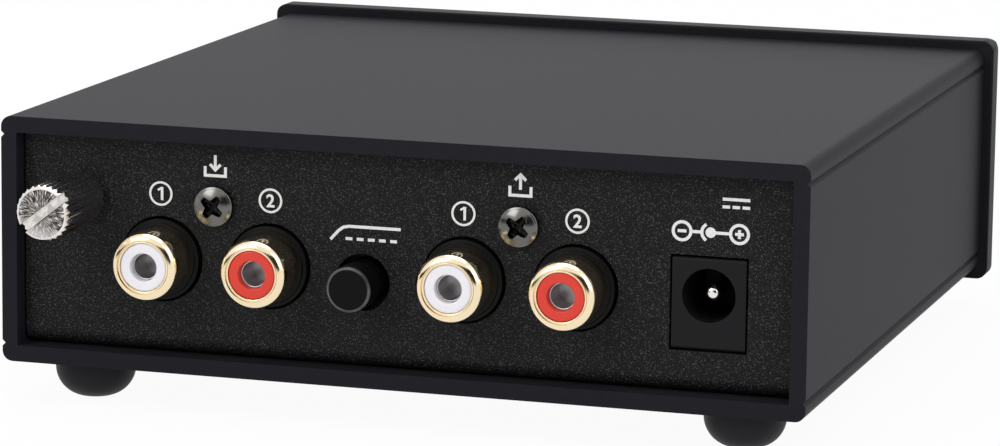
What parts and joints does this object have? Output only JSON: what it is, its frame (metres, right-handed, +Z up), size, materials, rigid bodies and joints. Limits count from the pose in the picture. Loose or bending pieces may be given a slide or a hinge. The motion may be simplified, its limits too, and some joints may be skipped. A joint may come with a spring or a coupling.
{
  "type": "phono preamplifier",
  "caption": "Small box phono preamplifier: extruded sleeve over a bent tray, paired phono sockets, knurled ground terminal, push buttons, barrel power inlet.",
  "frame": {"origin": "under the middle of the whole object's box, on the plane that the feet stand on", "axes": "+Z up, -Y out of the front panel, +Y out of the rear panel with the sockets, +X to the right seen from the front"},
  "size_m": [0.1032, 0.1178, 0.0366],
  "materials": {
    "sleeve_black": "satin black coating on an extruded sleeve",
    "panel_black": "satin black coating on a thick plate",
    "tray_black": "fine sandy black powder coat",
    "screw_steel": "zinc plated",
    "screw_black": "blackened",
    "rubber_black": "satin",
    "board_green": "solder resist",
    "housing_black": "satin moulding",
    "socket_gold": "gold plated",
    "insulator_white": "gloss",
    "insulator_red": "gloss",
    "terminal_nickel": "nickel plated, turned",
    "button_black": "gloss",
    "button_metal": "turned",
    "plunger_white": "satin",
    "switch_grey": "satin",
    "inlet_black": "satin moulding",
    "lamp_clear": "clear",
    "dip_red": "satin",
    "slider_white": "satin",
    "chip_black": "matte moulding with tinned legs",
    "capacitor_blue": "shrink sleeve",
    "film_red": "moulded box",
    "resistor_blue": "lacquer",
    "heatsink_grey": "matte"
  },
  "bodies": {
    "chassis": {"sleeve": "sleeve_black", "front_panel": "panel_black", "front_panel_screws": "screw_steel", "chassis_tray": "tray_black", "base_screws": "screw_black", "foot_rear_left": "rubber_black", "foot_rear_right": "rubber_black", "foot_front_left": "rubber_black", "foot_front_right": "rubber_black", "circuit_board": "board_green", "board_standoffs": "screw_steel", "board_screws": "screw_steel", "input_jack_housing": "housing_black", "output_jack_housing": "housing_black", "input_jack_screw": "screw_black", "output_jack_screw": "screw_black", "input_left_shell": "socket_gold", "input_right_shell": "socket_gold", "output_left_shell": "socket_gold", "output_right_shell": "socket_gold", "input_left_insulator": "insulator_white", "input_right_insulator": "insulator_red", "output_left_insulator": "insulator_white", "output_right_insulator": "insulator_red", "input_jack_contacts": "socket_gold", "output_jack_contacts": "socket_gold", "ground_insert": "screw_steel", "filter_switch": "switch_grey", "power_switch": "switch_grey", "power_inlet": "inlet_black", "power_inlet_pin": "terminal_nickel", "power_inlet_spring": "terminal_nickel", "lamp_light_pipe": "lamp_clear", "lamp_led": "lamp_clear", "setting_switch_left": "dip_red", "setting_switch_right": "dip_red", "amplifier_chips": "chip_black", "electrolytic_capacitors": "capacitor_blue", "film_capacitors": "film_red", "resistors": "resistor_blue", "voltage_regulator": "heatsink_grey"},
    "ground_washer": {"ground_lock_washer": "terminal_nickel"},
    "ground_screw": {"ground_thumbscrew": "terminal_nickel"},
    "filter_key": {"filter_button": "button_black", "filter_plunger": "plunger_white"},
    "power_key": {"power_button": "button_metal", "power_plunger": "plunger_white"},
    "setting_left_1": {"slider_left_1": "slider_white"},
    "setting_left_2": {"slider_left_2": "slider_white"},
    "setting_left_3": {"slider_left_3": "slider_white"},
    "setting_left_4": {"slider_left_4": "slider_white"},
    "setting_right_1": {"slider_right_1": "slider_white"},
    "setting_right_2": {"slider_right_2": "slider_white"},
    "setting_right_3": {"slider_right_3": "slider_white"},
    "setting_right_4": {"slider_right_4": "slider_white"}
  },
  "joints": [
    {"name": "ground_washer_slide", "type": "slide", "parent": "chassis", "child": "ground_washer", "axis": [0, 1, 0], "range_m": [0, 0.0028]},
    {"name": "ground_screw_turn", "type": "hinge", "parent": "ground_washer", "child": "ground_screw", "pos_m": [0.04075, 0.04635, 0.0256], "axis": [0, 1, 0], "range_deg": [0, 1441]},
    {"name": "filter_press", "type": "slide", "parent": "chassis", "child": "filter_key", "axis": [0, -1, 0], "range_m": [0, 0.002], "stiffness_N_per_m": 300, "springref_m": -0.002},
    {"name": "power_press", "type": "slide", "parent": "chassis", "child": "power_key", "axis": [0, 1, 0], "range_m": [0, 0.002], "stiffness_N_per_m": 300, "springref_m": -0.002},
    {"name": "setting_left_1_slide", "type": "slide", "parent": "chassis", "child": "setting_left_1", "axis": [0, 1, 0], "range_m": [0, 0.0016]},
    {"name": "setting_left_2_slide", "type": "slide", "parent": "chassis", "child": "setting_left_2", "axis": [0, 1, 0], "range_m": [0, 0.0016]},
    {"name": "setting_left_3_slide", "type": "slide", "parent": "chassis", "child": "setting_left_3", "axis": [0, 1, 0], "range_m": [0, 0.0016]},
    {"name": "setting_left_4_slide", "type": "slide", "parent": "chassis", "child": "setting_left_4", "axis": [0, 1, 0], "range_m": [0, 0.0016]},
    {"name": "setting_right_1_slide", "type": "slide", "parent": "chassis", "child": "setting_right_1", "axis": [0, 1, 0], "range_m": [0, 0.0016]},
    {"name": "setting_right_2_slide", "type": "slide", "parent": "chassis", "child": "setting_right_2", "axis": [0, 1, 0], "range_m": [0, 0.0016]},
    {"name": "setting_right_3_slide", "type": "slide", "parent": "chassis", "child": "setting_right_3", "axis": [0, 1, 0], "range_m": [0, 0.0016]},
    {"name": "setting_right_4_slide", "type": "slide", "parent": "chassis", "child": "setting_right_4", "axis": [0, 1, 0], "range_m": [0, 0.0016]}
  ],
  "couplings": [
    {"joint": "ground_screw_turn", "follows": "ground_washer_slide", "rad_per_m": 8976}
  ]
}
